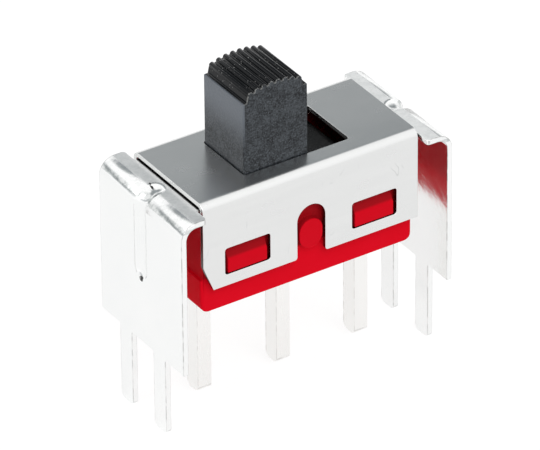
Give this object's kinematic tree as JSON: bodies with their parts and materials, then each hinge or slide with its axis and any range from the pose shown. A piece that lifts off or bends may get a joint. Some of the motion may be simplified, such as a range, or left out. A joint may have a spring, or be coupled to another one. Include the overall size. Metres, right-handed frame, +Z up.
{
  "type": "slide switch",
  "caption": "Board-mounted slide switch: folded steel cover on a red base, saddle bracket with board pins, ribbed black slider over a rocking contact.",
  "frame": {"origin": "where the middle terminal's axis meets the top of the board, level with the bottom edges of the bracket's legs", "axes": "+X along the slider's travel, towards the position it can be pushed to; +Y across the switch; +Z up, away from the board"},
  "size_m": [0.016, 0.0076, 0.0182],
  "materials": {
    "cover_steel": "satin bright steel",
    "bracket_steel": "bright tin plate",
    "base_plastic": "moulded, satin red",
    "slider_plastic": "moulded, matt black",
    "plunger_plastic": "smooth, off-white",
    "spring_steel": "drawn wire",
    "contact_metal": "silver plated brass",
    "terminal_metal": "silver plated brass, slightly dull",
    "seal_resin": "cast resin"
  },
  "bodies": {
    "frame": {"cover": "cover_steel", "base": "base_plastic", "support_bracket": "bracket_steel", "terminal_left": "terminal_metal", "terminal_center": "terminal_metal", "terminal_right": "terminal_metal", "contact_left": "contact_metal", "contact_right": "contact_metal", "terminal_seal": "seal_resin"},
    "slider": {"slider": "slider_plastic", "plunger_spring": "spring_steel"},
    "plunger": {"plunger": "plunger_plastic"},
    "rocker": {"rocker_contact": "contact_metal"}
  },
  "joints": [
    {"name": "slider_travel", "type": "slide", "parent": "frame", "child": "slider", "axis": [1, 0, 0], "range_m": [0, 0.00235]},
    {"name": "rocker_tilt", "type": "hinge", "parent": "frame", "child": "rocker", "pos_m": [0, 0, 0.00492], "axis": [0, 1, 0], "range_deg": [0, 10]},
    {"name": "plunger_press", "type": "slide", "parent": "slider", "child": "plunger", "axis": [0, 0, 1], "range_m": [0, 0.0003], "stiffness_N_per_m": 400, "springref_m": -0.003, "deforming": ["plunger_spring"]}
  ],
  "couplings": [
    {"joint": "rocker_tilt", "follows": "slider_travel", "rad_per_m": 74.2}
  ]
}
